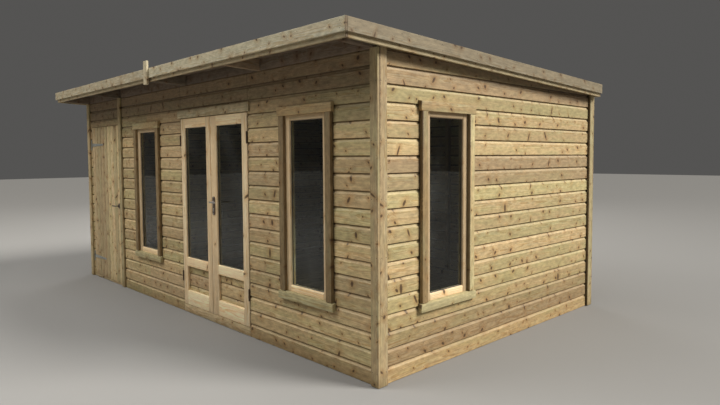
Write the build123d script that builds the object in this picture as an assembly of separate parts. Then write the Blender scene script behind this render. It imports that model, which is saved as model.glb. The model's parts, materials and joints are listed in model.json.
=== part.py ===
from build123d import *
import os

# A timber summer house with a shed at its left end, under one pent roof that falls to the back.
# Lengths are in millimetres. X runs along the front, the front faces -Y, and Z is up.
# The origin is at the bottom centre of the whole building, roof overhangs included.

# Walls, along the front from the left corner to the right
shed_edge = 122.0           # left corner to the shed door, corner board included
shed_door_width = 916.0
left_pier = 454.0           # cover strip to the left window
window_width = 500.0        # opening in the wall
window_to_doors = 544.0     # each window to the opening of the double doors
left_leaf_width = 572.0
right_leaf_width = 620.0
right_pier = 530.0          # right window to the right corner
body_depth = 3160.0         # over the corner boards, front to back

# Heights of the openings
leaf_bottom = 85.0
leaf_height = 1853.0
shed_door_bottom = 30.0
shed_head_rise = 10.0       # top of the shed's doorway above that of the double doors
window_head_drop = 69.0     # tops of the windows below the top of the double doors' opening
window_height = 1375.0
wall_over_doors = 322.0     # double doors' opening to the underside of the rafters

# Roof overhangs and fall
front_overhang = 350.0      # corner boards to the face of the front fascia
side_overhang = 80.0        # corner boards to the face of a side fascia
roof_fall = 126.0           # from the front fascia to the back wall

# Boards and framing
ground_gap = 4.0            # cladding and corner boards stop short of the ground
board_thickness = 20.0      # corner boards, cover strips and fascia boards
corner_board_width = 72.0
edge_ease = 1.5             # planed boards have their edges taken off by this much
cladding_thickness = 20.0
stud_width = 45.0
stud_depth = 60.0
plate_height = 45.0
stud_spacing = 600.0
hairline = 0.4              # open joint between boards that butt

# Floor
bearer_height = 50.0
bearer_width = 45.0
bearer_count = 7
floor_thickness = 22.0

# Roof
felt_below_fascia = 4.0
felt_thickness = 4.0
roof_board_thickness = 18.0
rafter_depth = 90.0
rafter_width = 45.0
fascia_height = 90.0
drip_board_height = 122.0
verge_batten_height = 38.0
joint_strip_rise = 68.0     # the fascia's joint strip stands above the fascia
joint_strip_drop = 30.0     # and hangs below the drip board
right_rafter_inset = 1400.0 # right corner to the middle of the rafter between it and the joint
roof_joint_gap = 2.0        # between the pair of rafters under the roof's joint

# Partition and shed door
partition_board = 12.0
door_gap = 6.0              # round a door, to its jambs and head
door_proud = 2.0            # door faces stand this much in front of the cladding
shed_board_thickness = 15.0
ledge_thickness = 20.0
ledge_height = 95.0
brace_width = 80.0
ledge_inset = 40.0

# Double doors
leaf_meeting_gap = 8.0
leaf_thickness = 44.0
stile_width = 80.0
right_hinge_stile = 90.0
right_meeting_stile = 104.0
top_rail = 93.0
glass_bottom = 562.0        # top of the middle rail
middle_rail = 93.0
bottom_rail = 143.0
door_glass_setback = 19.0
panel_thickness = 10.0
panel_setback = 24.0
groove_depth = 8.0          # panes and panels sit this far into their frames
groove_clearance = 0.3
frame_chamfer = 6.0         # bevel round each pane and panel
door_head_overlap = 37.0    # the head board runs past the opening at each end
door_head_height = 80.0
door_head_thickness = 16.0
threshold_top = 80.0
stop_width = 20.0
stop_depth = 30.0
stop_clearance = 5.0
lintel_height = 95.0

# Windows
side_window_from_front = 507.0
jamb_board = 62.0
jamb_thickness = 28.0
head_board_height = 74.0
head_board_overlap = 15.0
head_board_thickness = 31.0
sill_height = 64.0
sill_overlap = 18.0
sill_thickness = 32.0
sill_fall = 6.0             # sills and heads slope forward to shed water
drip_groove = 5.0           # groove under a sill, as wide as deep
sash_proud = 2.0            # sash face in front of the cladding's face
sash_depth = 45.0
sash_stile = 53.0
sash_top_rail = 40.0
sash_bottom_rail = 50.0
glass_thickness = 4.0
glass_setback = 20.0        # glass behind the sash's face

# Door furniture
barrel_radius = 6.0
barrel_stand_off = 0.5      # barrel to the door's face
flap_thickness = 1.5
flap_depth = 32.0
butt_hinge_height = 100.0
butt_hinge_from_foot = 281.0
butt_hinge_from_top = 213.0
knuckle_gap = 0.3
t_hinge_from_foot = 239.0
t_hinge_from_top = 222.0
t_plate_height = 130.0
t_plate_width = 32.0
t_strap_length = 385.0
t_strap_root = 40.0
t_strap_tip = 22.0
t_metal = 3.0
t_barrel_height = 60.0
handle_from_edge = 48.0     # leaf's meeting edge to the middle of its back plate
handle_plate_width = 40.0
handle_plate_height = 170.0
handle_plate_centre = 1108.0
handle_plate_thickness = 8.0
lever_above_centre = 35.0
boss_radius = 12.0
boss_length = 9.0
lever_reach = 45.0          # lever's centre line in front of the plate
lever_radius = 7.0
lever_bend = 16.0
lever_length = 110.0
shed_handle_from_edge = 50.0
shed_handle_height = 976.0
shed_plate_size = 60.0
shed_lever_length = 90.0
pivot_gap = 0.3

# Worked-out planes and edges
doors_open_width = left_leaf_width + leaf_meeting_gap + right_leaf_width + 2 * door_gap
body_length = (shed_edge + shed_door_width + door_gap + corner_board_width + left_pier + 2 * window_width
               + 2 * window_to_doors + doors_open_width + right_pier)
x_right = body_length / 2
x_left = -body_length / 2
total_depth = board_thickness + front_overhang + body_depth
y_front = -total_depth / 2 + board_thickness + front_overhang
y_back = y_front + body_depth
y_fascia = y_front - front_overhang
face = board_thickness                      # depth of the cladding's face behind the corner boards
frame_front = face + cladding_thickness     # depth of the framing's outer face
frame_back = frame_front + stud_depth       # depth of the framing's inner face
floor_top = bearer_height + floor_thickness
boards_top = felt_below_fascia + felt_thickness
rafters_top = boards_top + roof_board_thickness
rafters_bottom = rafters_top + rafter_depth
studs_top = rafters_bottom + plate_height
roof_slope = roof_fall / (front_overhang + body_depth)

# Openings along the front as left and right edges, with their heights
shed_door_left = x_left + shed_edge
shed_door_right = shed_door_left + shed_door_width
shed_open = (shed_door_left - door_gap, shed_door_right + door_gap)
divider_x = shed_open[1] + corner_board_width / 2
left_window_left = shed_open[1] + corner_board_width + left_pier
left_window = (left_window_left, left_window_left + window_width)
doors_left = left_window[1] + window_to_doors
doors_open = (doors_left, doors_left + doors_open_width)
right_window_left = doors_open[1] + window_to_doors
right_window = (right_window_left, right_window_left + window_width)
leaf_top = leaf_bottom + leaf_height
doors_head = leaf_top + door_gap
shed_head = doors_head + shed_head_rise
shed_door_top = shed_head - door_gap
window_top = doors_head - window_head_drop
window_bottom = window_top - window_height
partition_x = divider_x - partition_board / 2
roof_front_height = doors_head + wall_over_doors + rafters_bottom + roof_slope * front_overhang

os.makedirs("parts", exist_ok=True)


def F(depth):
    """Y of a plane this far behind the front corner boards."""
    return y_front + depth


def B(depth):
    """Y of a plane this far in front of the back corner boards."""
    return y_back - depth


def R(depth):
    """X of a plane this far inside the right corner boards."""
    return x_right - depth


def L(depth):
    """X of a plane this far inside the left corner boards."""
    return x_left + depth


def roof_z(y):
    """Height of the fascia's top line, which all roof pieces follow."""
    return roof_front_height - roof_slope * (y - y_fascia)


def box(x1, x2, y1, y2, z1, z2):
    return Pos((x1 + x2) / 2, (y1 + y2) / 2, (z1 + z2) / 2) * Box(x2 - x1, y2 - y1, z2 - z1)


def prism(x1, x2, outline):
    """Extrude a (y, z) outline along X."""
    section = Plane.YZ * make_face(Polyline(*outline, close=True))
    return Pos(x1, 0, 0) * extrude(section, amount=x2 - x1, dir=(1, 0, 0))


def sloped(x1, x2, y1, y2, upper, lower):
    """A board between two planes that lie this far below the roof line."""
    return prism(x1, x2, [(y1, roof_z(y1) - upper), (y2, roof_z(y2) - upper),
                          (y2, roof_z(y2) - lower), (y1, roof_z(y1) - lower)])


def upright(x1, x2, y1, y2, foot, upper):
    """A post or wall piece from a level foot up to a plane below the roof line."""
    return prism(x1, x2, [(y1, foot), (y2, foot), (y2, roof_z(y2) - upper), (y1, roof_z(y1) - upper)])


def eased(board):
    """A planed board with its sharp edges taken off."""
    return chamfer(board.edges(), edge_ease)


def save(name, *solids):
    """Write one named piece, or a set of like pieces that don't touch."""
    shape = solids[0] if len(solids) == 1 else Compound(children=list(solids))
    export_step(shape, f"parts/{name}.step")


def evenly(start, end, width, spacing):
    """Left edges of studs from start to end, the outer ones included, at no more than the spacing."""
    bays = max(1, round((end - start - width) / spacing))
    pitch = (end - start - width) / bays
    return [start + i * pitch for i in range(bays + 1)]


side_window = (F(side_window_from_front), F(side_window_from_front + window_width))


def make_floor():
    """Bearers along the building, and a boarded floor for each room."""
    pitch = (B(frame_front) - F(frame_front) - bearer_width) / (bearer_count - 1)
    bearers = []
    for i in range(bearer_count):
        y = F(frame_front) + i * pitch
        bearers.append(box(L(frame_front), R(frame_front), y, y + bearer_width, 0, bearer_height))
    save("floor_bearers", *bearers)
    save("shed_floor", box(L(frame_front), partition_x, F(frame_front), B(frame_front), bearer_height, floor_top))
    save("summer_house_floor",
         box(partition_x, R(frame_front), F(frame_front), B(frame_front), bearer_height, floor_top))


def front_stud_edges():
    """Left and right edges of the posts in the front wall."""
    half = stud_depth / 2
    posts = [(L(frame_front), shed_open[0]), (partition_x - half, partition_x + half)]
    for left, right in (left_window, doors_open, right_window):
        posts.append((left - stud_width, left))
        posts.append((right, right + stud_width))
    posts.append((R(frame_front + stud_width), R(frame_front)))
    return posts


def make_frames():
    """Studs, plates and the trimmers round the openings."""
    sole_top = floor_top + plate_height
    front = (F(frame_front), F(frame_back))
    back = (B(frame_back), B(frame_front))
    studs = [upright(a, b, front[0], front[1], sole_top, studs_top) for a, b in front_stud_edges()]
    for x in evenly(L(frame_front), R(frame_front), stud_width, stud_spacing):
        studs.append(upright(x, x + stud_width, back[0], back[1], sole_top, studs_top))
    save("long_wall_studs", *studs)

    right_walls = [F(frame_back), side_window[0] - stud_width, side_window[1]]
    right_walls += evenly(side_window[1] + stud_spacing, B(frame_back), stud_width, stud_spacing)
    cross = [upright(R(frame_back), R(frame_front), y, y + stud_width, sole_top, studs_top) for y in right_walls]
    for y in evenly(F(frame_back), B(frame_back), stud_width, stud_spacing):
        cross.append(upright(L(frame_front), L(frame_back), y, y + stud_width, sole_top, studs_top))
    save("side_wall_studs", *cross)

    half = stud_depth / 2
    middle = [upright(partition_x - half, partition_x + half, y, y + stud_width, sole_top, studs_top)
              for y in evenly(F(frame_back), B(frame_back), stud_width, stud_spacing)]
    save("partition_studs", *middle)

    plates = []
    for a, b in ((L(frame_front), shed_open[0]), (partition_x - half, doors_open[0]), (doors_open[1], R(frame_front))):
        plates.append(box(a, b, front[0], front[1], floor_top, sole_top))
    plates.append(box(L(frame_front), R(frame_front), back[0], back[1], floor_top, sole_top))
    for y1, y2 in (front, back):
        plates.append(sloped(L(frame_front), R(frame_front), y1, y2, rafters_bottom, studs_top))
    save("long_wall_plates", *plates)

    plates = []
    for a, b in ((L(frame_front), L(frame_back)), (partition_x - half, partition_x + half),
                 (R(frame_back), R(frame_front))):
        plates.append(box(a, b, F(frame_back), B(frame_back), floor_top, sole_top))
        plates.append(sloped(a, b, F(frame_back), B(frame_back), rafters_bottom, studs_top))
    save("cross_wall_plates", *plates)

    trimmers = [box(*shed_open, *front, shed_head, shed_head + lintel_height),
                box(*doors_open, *front, doors_head, doors_head + lintel_height)]
    for a, b in (left_window, right_window):
        trimmers.append(box(a, b, *front, window_top, window_top + plate_height))
        trimmers.append(box(a, b, *front, window_bottom - plate_height, window_bottom))
    for z in (window_top, window_bottom - plate_height):
        trimmers.append(box(R(frame_back), R(frame_front), *side_window, z, z + plate_height))
    save("opening_trimmers", *trimmers)


def make_cladding():
    """Wall boarding as slabs, split round each opening."""
    y1, y2 = F(face), F(frame_front)
    for name, start, end, window in (
            ("front_cladding_left", partition_x - stud_depth / 2, doors_open[0], left_window),
            ("front_cladding_right", doors_open[1], R(frame_front), right_window)):
        save(name,
             box(start, end, y1, y2, ground_gap, window_bottom),
             box(start, window[0], y1, y2, window_bottom + hairline, window_top),
             box(window[1], end, y1, y2, window_bottom + hairline, window_top),
             upright(start, end, y1, y2, window_top + hairline, rafters_bottom))
    save("cladding_over_doors",
         upright(*shed_open, y1, y2, shed_head, rafters_bottom),
         upright(*doors_open, y1, y2, doors_head, rafters_bottom))
    save("front_cladding_shed_edge", upright(L(frame_front), shed_open[0], y1, y2, ground_gap, rafters_bottom))

    x1, x2 = R(frame_front), R(face)
    save("right_cladding",
         box(x1, x2, F(face), B(face), ground_gap, window_bottom),
         box(x1, x2, F(face), side_window[0], window_bottom + hairline, window_top),
         box(x1, x2, side_window[1], B(face), window_bottom + hairline, window_top),
         upright(x1, x2, F(face), B(face), window_top + hairline, rafters_top))
    save("left_cladding", upright(L(face), L(frame_front), F(face), B(face), ground_gap, rafters_top))
    save("back_cladding",
         upright(L(frame_front), R(frame_front), B(frame_front), B(face), ground_gap, rafters_bottom))

    board_x = partition_x + stud_depth / 2
    save("partition_boards",
         upright(board_x, board_x + partition_board, F(frame_back), B(frame_back), floor_top, rafters_bottom))


def rafter_edges():
    """Left and right edges of the rafters, from the left wall to the right wall."""
    half = rafter_width / 2
    gap = roof_joint_gap / 2
    return [(L(frame_front), L(frame_front) + rafter_width),
            (partition_x - half, partition_x + half),
            (-gap - rafter_width, -gap),
            (gap, gap + rafter_width),
            (x_right - right_rafter_inset - half, x_right - right_rafter_inset + half),
            (R(frame_front) - rafter_width, R(frame_front))]


def make_roof():
    """Rafters, boards, felt, fascias and the boards that close the eaves."""
    fascia_inner = y_fascia + 2 * board_thickness
    drip_x = x_right + side_overhang - board_thickness
    boards_x = drip_x - board_thickness
    edges = rafter_edges()
    save("rafters", *[sloped(a, b, fascia_inner, B(face), rafters_top, rafters_bottom) for a, b in edges])

    eaves = []
    for (_, a), (b, _) in zip(edges, edges[1:]):
        if b - a > rafter_width:
            eaves.append(sloped(a, b, F(face), F(frame_front), rafters_top, rafters_bottom))
            eaves.append(sloped(a, b, B(frame_front), B(face), rafters_top, rafters_bottom))
    save("eaves_boards", *eaves)

    save("roof_boards_left", sloped(-boards_x, 0, fascia_inner, B(face), boards_top, rafters_top))
    save("roof_boards_right", sloped(0, boards_x, fascia_inner, B(face), boards_top, rafters_top))
    save("roof_felt", sloped(-boards_x, boards_x, fascia_inner, B(face), felt_below_fascia, boards_top))
    save("verge_battens",
         sloped(-boards_x, x_left, fascia_inner, B(face), rafters_top, rafters_top + verge_batten_height),
         sloped(x_right, boards_x, fascia_inner, B(face), rafters_top, rafters_top + verge_batten_height))

    top = roof_front_height
    fascia_x = x_right + side_overhang
    fascia_back = y_fascia + board_thickness
    save("front_fascia_left", eased(box(-fascia_x, 0, y_fascia, fascia_back, top - fascia_height, top)))
    save("front_fascia_right", eased(box(0, fascia_x, y_fascia, fascia_back, top - fascia_height, top)))
    save("front_drip_board",
         eased(box(-drip_x, drip_x, fascia_back, fascia_inner, top - drip_board_height, top)))
    save("side_fascias",
         eased(sloped(-fascia_x, -drip_x, fascia_back, y_back, 0, fascia_height)),
         eased(sloped(drip_x, fascia_x, fascia_back, y_back, 0, fascia_height)))
    save("side_drip_boards",
         eased(sloped(-drip_x, -boards_x, fascia_inner, y_back, 0, drip_board_height)),
         eased(sloped(boards_x, drip_x, fascia_inner, y_back, 0, drip_board_height)))
    save("back_fascia", eased(sloped(-boards_x, boards_x, B(face), y_back, 0, drip_board_height)))
    half = corner_board_width / 2
    save("fascia_joint_strip",
         eased(box(-half, half, y_fascia - board_thickness, y_fascia,
                   top - drip_board_height - joint_strip_drop, top + joint_strip_rise)))


def make_trims():
    """Corner boards, and the cover strip between the shed and the summer house."""
    wide = corner_board_width
    save("front_corner_boards",
         eased(upright(x_left, x_left + wide, F(0), F(face), ground_gap, rafters_bottom)),
         eased(upright(x_right - wide, x_right, F(0), F(face), ground_gap, rafters_bottom)))
    save("back_corner_boards",
         eased(upright(x_left, x_left + wide, B(face), B(0), ground_gap, drip_board_height)),
         eased(upright(x_right - wide, x_right, B(face), B(0), ground_gap, drip_board_height)))
    sides = []
    for x1, x2 in ((x_left, L(face)), (R(face), x_right)):
        sides.append(eased(upright(x1, x2, F(face), F(face) + wide, ground_gap, rafters_top)))
        sides.append(eased(upright(x1, x2, B(face) - wide, B(face), ground_gap, rafters_top)))
    save("side_corner_boards", *sides)
    save("divider_strip",
         eased(upright(divider_x - wide / 2, divider_x + wide / 2, F(0), F(face), ground_gap, rafters_bottom)))


def weathered(x1, x2, z1, z2, thickness, groove):
    """A sill or head board whose top slopes forward, with a groove beneath where one is asked for."""
    front, back = F(face - thickness), F(face)
    outline = [(front, z1), (front, z2 - sill_fall), (back, z2), (back, z1)]
    if groove:
        inner, outer = front + 3 * drip_groove, front + 2 * drip_groove
        outline += [(inner, z1), (inner, z1 + drip_groove), (outer, z1 + drip_groove), (outer, z1)]
    return prism(x1, x2, outline)


def seated_sheet(x1, x2, z1, z2, y, thickness, clearance=0.0):
    """A pane or panel that reaches into the grooves of its frame; with a clearance it is their cutter."""
    reach = groove_depth + clearance
    return box(x1 - reach, x2 + reach, y - clearance, y + thickness + clearance, z1 - reach, z2 + reach)


def bevel_cutter(x1, x2, z1, z2, y, inward):
    """What a bevel round an opening takes off its frame at the face y, mitred at the corners."""
    middle = ((x1 + x2) / 2, 0, (z1 + z2) / 2)
    outer = Plane(origin=(middle[0], y, middle[2]), x_dir=(1, 0, 0), z_dir=(0, -1, 0))
    inner = Plane(origin=(middle[0], y + inward * frame_chamfer, middle[2]), x_dir=(1, 0, 0), z_dir=(0, -1, 0))
    width, height = x2 - x1, z2 - z1
    return loft([outer * Rectangle(width + 2 * frame_chamfer, height + 2 * frame_chamfer),
                 inner * Rectangle(width, height)])


def window_pieces(left):
    """Surround, sash and glass of a window in the front wall, whose opening starts at this X."""
    right = left + window_width
    outer = jamb_board + head_board_overlap
    lower = jamb_board + sill_overlap
    jamb_front = F(face - jamb_thickness)
    surround = [
        eased(box(left - jamb_board, left, jamb_front, F(face), window_bottom + hairline, window_top - hairline)),
        eased(box(right, right + jamb_board, jamb_front, F(face), window_bottom + hairline,
                  window_top - hairline)),
        eased(weathered(left - outer, right + outer, window_top, window_top + head_board_height,
                        head_board_thickness, False)),
        weathered(left - lower, right + lower, window_bottom - sill_height, window_bottom, sill_thickness, True)]
    y1 = F(face - sash_proud)
    y2 = y1 + sash_depth
    a, b = left + sash_stile, right - sash_stile
    low, high = window_bottom + sash_bottom_rail, window_top - sash_top_rail
    members = [box(left, a, y1, y2, window_bottom, window_top), box(b, right, y1, y2, window_bottom, window_top)]
    members += [box(a + hairline, b - hairline, y1, y2, z1, z2)
                for z1, z2 in ((high, window_top), (window_bottom, low))]
    groove = seated_sheet(a, b, low, high, y1 + glass_setback, glass_thickness, groove_clearance)
    bevel = bevel_cutter(a, b, low, high, y1, 1)
    sash = [member - groove - bevel for member in members]
    pane = seated_sheet(a, b, low, high, y1 + glass_setback, glass_thickness)
    return surround, sash, pane


def make_windows():
    """Three fixed windows of one size: two in the front, one in the right wall."""
    turn = Pos(x_right, 0, 0) * Rot(0, 0, 90) * Pos(0, -y_front, 0)
    sashes = []
    panes = []
    for name, left, place in (("front_left_window", left_window[0], Pos(0, 0, 0)),
                              ("front_right_window", right_window[0], Pos(0, 0, 0)),
                              ("side_window", side_window[0], turn)):
        surround, sash, pane = window_pieces(left)
        save(f"{name}_surround", *[place * piece for piece in surround])
        sashes += [place * piece for piece in sash]
        panes.append(place * pane)
    save("window_sashes", *sashes)
    save("window_glass", *panes)


def make_leaf(side, x1, x2, left_stile, right_stile):
    """One leaf of the double doors: stiles and rails, a tall pane and a boarded panel in grooves."""
    y1 = F(face - door_proud)
    y2 = y1 + leaf_thickness
    a, b = x1 + left_stile, x2 - right_stile
    panel_top = glass_bottom - middle_rail
    panel_bottom = leaf_bottom + bottom_rail
    glass_top = leaf_top - top_rail
    rails = [(glass_top, leaf_top), (panel_top, glass_bottom), (leaf_bottom, panel_bottom)]
    members = [box(x1, a, y1, y2, leaf_bottom, leaf_top), box(b, x2, y1, y2, leaf_bottom, leaf_top)]
    members += [box(a + hairline, b - hairline, y1, y2, z1, z2) for z1, z2 in rails]

    pane = (a, b, glass_bottom, glass_top, y1 + door_glass_setback, glass_thickness)
    panel = (a, b, panel_bottom, panel_top, y1 + panel_setback, panel_thickness)
    cutters = [seated_sheet(*pane, groove_clearance), seated_sheet(*panel, groove_clearance)]
    for y, inward in ((y1, 1), (y2, -1)):
        cutters += [bevel_cutter(a, b, glass_bottom, glass_top, y, inward),
                    bevel_cutter(a, b, panel_bottom, panel_top, y, inward)]
    save(f"{side}_door_leaf", *[member - cutters for member in members])
    save(f"{side}_door_glass", seated_sheet(*pane))
    save(f"{side}_door_panel", seated_sheet(*panel))


def knuckle(x, y, z1, z2):
    return Pos(x, y, (z1 + z2) / 2) * Cylinder(barrel_radius, z2 - z1)


def butt_hinge(jamb, edge, z):
    """Fixed and moving halves of a butt hinge, its axis midway between a jamb and a leaf's edge."""
    x = (jamb + edge) / 2
    y = F(face - door_proud - barrel_stand_off - barrel_radius)
    back = F(face - door_proud) + hairline
    third = butt_hinge_height / 3
    low, high = z - butt_hinge_height / 2, z + butt_hinge_height / 2
    into = 1 if edge > jamb else -1
    fx = sorted((jamb, jamb + into * flap_thickness))
    mx = sorted((edge, edge - into * flap_thickness))
    fixed = box(*fx, back, back + flap_depth, low, high)
    for z1, z2 in ((low, low + third - knuckle_gap), (high - third + knuckle_gap, high)):
        fixed += knuckle(x, y, z1, z2) + box(*fx, y, back, z1, z2)
    moving = box(*mx, back, back + flap_depth, low, high)
    moving += knuckle(x, y, low + third, high - third) + box(*mx, y, back, low + third, high - third)
    return fixed, moving


def back_plate(x, z, width, height, leaf_face):
    """A back plate with rounded ends, on the face of a door."""
    outline = Plane.XZ * Pos(x, z) * RectangleRounded(width, height, width / 2 - edge_ease)
    plate = Pos(0, leaf_face, 0) * extrude(outline, amount=handle_plate_thickness, dir=(0, -1, 0))
    return chamfer(plate.faces().sort_by(Axis.Y)[0].edges(), edge_ease)


def lever_handle(x, z, plate_face, direction, length):
    """A round bar that leaves its boss towards the front and bends to point along X."""
    y = plate_face - pivot_gap
    boss = Pos(x, y - boss_length / 2, z) * Rot(90, 0, 0) * Cylinder(boss_radius, boss_length)
    tip = x + direction * (length - lever_radius)
    line = FilletPolyline((x, y, z), (x, y - lever_reach, z), (tip, y - lever_reach, z), radius=lever_bend)
    start = Plane(origin=(x, y, z), z_dir=(0, -1, 0))
    bar = sweep(start * Circle(lever_radius), path=line)
    return boss + bar + Pos(tip, y - lever_reach, z) * Sphere(lever_radius)


def make_double_doors():
    """Two glazed leaves that open outwards, with their hinges, handle and head board."""
    left_x1 = doors_open[0] + door_gap
    left_x2 = left_x1 + left_leaf_width
    right_x1 = left_x2 + leaf_meeting_gap
    right_x2 = right_x1 + right_leaf_width
    make_leaf("left", left_x1, left_x2, stile_width, stile_width)
    make_leaf("right", right_x1, right_x2, right_meeting_stile, right_hinge_stile)

    fixed = []
    for side, jamb, edge in (("left", doors_open[0], left_x1), ("right", doors_open[1], right_x2)):
        moving = []
        for z in (leaf_bottom + butt_hinge_from_foot, leaf_top - butt_hinge_from_top):
            on_jamb, on_leaf = butt_hinge(jamb, edge, z)
            fixed.append(on_jamb)
            moving.append(on_leaf)
        save(f"{side}_door_hinges", *moving)
    save("door_frame_hinges", *fixed)

    leaf_face = F(face - door_proud)
    x = right_x1 + handle_from_edge
    save("door_handle_plate",
         back_plate(x, handle_plate_centre, handle_plate_width, handle_plate_height, leaf_face))
    save("door_lever", lever_handle(x, handle_plate_centre + lever_above_centre,
                                    leaf_face - handle_plate_thickness, 1, lever_length))
    save("door_head_board",
         eased(weathered(doors_open[0] - door_head_overlap, doors_open[1] + door_head_overlap,
                         doors_head, doors_head + door_head_height, door_head_thickness, False)))


def make_thresholds_and_stops():
    """Boards under the doors, and the laths that the closed doors meet."""
    y1, y2 = F(face), F(frame_front)
    save("door_thresholds",
         box(*doors_open, y1, y2, ground_gap, threshold_top),
         box(*shed_open, y1, y2, ground_gap, shed_door_bottom - door_gap))
    laths = []
    leaf_back = F(face - door_proud + leaf_thickness) + stop_clearance
    for (a, b), head, y in ((doors_open, doors_head, leaf_back), (shed_open, shed_head, F(frame_front))):
        laths.append(box(a, a + stop_width, y, y + stop_depth, floor_top, head))
        laths.append(box(b - stop_width, b, y, y + stop_depth, floor_top, head))
        laths.append(box(a + stop_width + hairline, b - stop_width - hairline, y, y + stop_depth,
                         head - stop_width, head))
    save("door_stops", *laths)


def brace(x1, z1, x2, z2, y1, y2):
    """A sloping brace between two ledges, cut level where it meets them."""
    reach = brace_width / 2
    section = Plane.XZ * make_face(Polyline((x1 - reach, z1), (x1 + reach, z1), (x2 + reach, z2),
                                            (x2 - reach, z2), close=True))
    return Pos(0, y2, 0) * extrude(section, amount=y2 - y1, dir=(0, -1, 0))


def strap_hinge(z, leaf_face):
    """A tapered strap with a round tip on the shed door, and its plate beside the door."""
    axis_x = shed_door_left - door_gap / 2
    axis_y = leaf_face - barrel_stand_off - barrel_radius
    third = t_barrel_height / 3
    tongue = third / 2 - knuckle_gap
    root = axis_x + barrel_radius + t_metal
    tip = shed_door_left + t_strap_length - t_strap_tip / 2
    taper = Polyline((root, z - t_strap_root / 2), (tip, z - t_strap_tip / 2), (tip, z + t_strap_tip / 2),
                     (root, z + t_strap_root / 2), close=True)
    outline = make_face(taper) + Pos(tip, z) * Circle(t_strap_tip / 2)
    strap = Pos(0, leaf_face, 0) * extrude(Plane.XZ * outline, amount=t_metal, dir=(0, -1, 0))
    strap += box(axis_x, root, leaf_face - t_metal, leaf_face - barrel_stand_off, z - tongue, z + tongue)
    strap += knuckle(axis_x, axis_y, z - tongue, z + tongue)

    jamb = shed_open[0]
    plate = box(jamb - t_plate_width, jamb, F(face) - t_metal, F(face),
                z - t_plate_height / 2, z + t_plate_height / 2)
    for z1, z2 in ((z - t_barrel_height / 2, z - third / 2), (z + third / 2, z + t_barrel_height / 2)):
        plate += knuckle(axis_x, axis_y, z1, z2)
        plate += box(jamb - barrel_radius, jamb, axis_y, F(face) - t_metal / 2, z1, z2)
    return strap, plate


def make_shed_door():
    """A boarded door with ledges and braces behind, on two long strap hinges."""
    leaf_face = F(face - door_proud)
    back = leaf_face + shed_board_thickness
    save("shed_door_boards",
         box(shed_door_left, shed_door_right, leaf_face, back, shed_door_bottom, shed_door_top))

    a, b = shed_door_left + ledge_inset, shed_door_right - ledge_inset
    lowest, highest = shed_door_bottom + t_hinge_from_foot, shed_door_top - t_hinge_from_top
    middles = [lowest, (lowest + highest) / 2, highest]
    bracing = [box(a, b, back, back + ledge_thickness, z - ledge_height / 2, z + ledge_height / 2) for z in middles]
    for low, high in zip(middles, middles[1:]):
        bracing.append(brace(a + brace_width, low + ledge_height / 2 + hairline,
                             b - brace_width, high - ledge_height / 2 - hairline,
                             back, back + ledge_thickness))
    save("shed_door_bracing", *bracing)

    hinges = [strap_hinge(z, leaf_face) for z in (lowest, highest)]
    save("shed_door_straps", *[strap for strap, _ in hinges])
    save("shed_hinge_plates", *[plate for _, plate in hinges])

    x = shed_door_right - shed_handle_from_edge
    save("shed_handle_plate", back_plate(x, shed_handle_height, shed_plate_size, shed_plate_size, leaf_face))
    save("shed_lever", lever_handle(x, shed_handle_height, leaf_face - handle_plate_thickness, -1,
                                    shed_lever_length))


make_floor()
make_frames()
make_cladding()
make_roof()
make_trims()
make_windows()
make_double_doors()
make_thresholds_and_stops()
make_shed_door()
print("built", len(os.listdir("parts")), "pieces")
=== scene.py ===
# %% [markdown]
# # A timber summer house with a shed
# The building comes as plain solids in one fixed frame: walls as slabs, floors as slabs, and posts,
# rails and trims as bare bars. This lesson dresses it: boards where the slabs are, grain and knots in
# every piece of wood, glass, felt, nails and screws.
# Nothing here moves or resizes a solid. A new piece is made where its solid lies, rides on the same
# body, and takes its place.

# %% Load the frame
import json
import math
import random

import bmesh
import bpy
from mathutils import Matrix, Vector


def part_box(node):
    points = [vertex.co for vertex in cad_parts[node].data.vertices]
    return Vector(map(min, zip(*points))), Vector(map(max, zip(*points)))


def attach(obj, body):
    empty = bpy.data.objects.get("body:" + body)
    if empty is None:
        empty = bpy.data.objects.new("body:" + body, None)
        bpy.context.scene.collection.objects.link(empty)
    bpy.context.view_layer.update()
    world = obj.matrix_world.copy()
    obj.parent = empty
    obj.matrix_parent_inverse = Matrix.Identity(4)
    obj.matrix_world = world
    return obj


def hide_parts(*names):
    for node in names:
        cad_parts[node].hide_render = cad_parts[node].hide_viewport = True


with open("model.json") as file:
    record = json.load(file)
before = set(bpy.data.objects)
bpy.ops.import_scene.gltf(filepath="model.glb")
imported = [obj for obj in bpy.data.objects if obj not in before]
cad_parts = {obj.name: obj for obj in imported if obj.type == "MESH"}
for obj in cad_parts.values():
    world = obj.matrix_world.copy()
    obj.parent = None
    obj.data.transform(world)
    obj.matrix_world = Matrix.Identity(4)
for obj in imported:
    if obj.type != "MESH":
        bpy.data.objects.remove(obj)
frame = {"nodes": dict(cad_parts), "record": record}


# the front is called south, as at the lower edge of a map
north, south = (0, 1, 0), (0, -1, 0)
east, west = (1, 0, 0), (-1, 0, 0)
upwards, downwards = (0, 0, 1), (0, 0, -1)


def rounded(vector, digits=3):
    return [round(value, digits) for value in vector]


def add_object(name, data):
    item = bpy.data.objects.new(name, data)
    scene.collection.objects.link(item)
    return item


scene = bpy.context.scene
nodes = frame["nodes"]
record = frame["record"]
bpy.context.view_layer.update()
body_of = {node: body for body, names in record["behaviour"]["bodies"].items() for node in names}
slot_of = {part["node"]: part["material_slot"] for part in record["subparts"]}

# %% [markdown]
# ## The camera
# A picture fixes its camera: where the eye stood, which way it looked and how wide the lens was.
# These were worked out from the corners of the building, so the camera is set by numbers. Its axes
# are written as the columns of a matrix, which is exact where three angles would need a convention.

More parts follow.
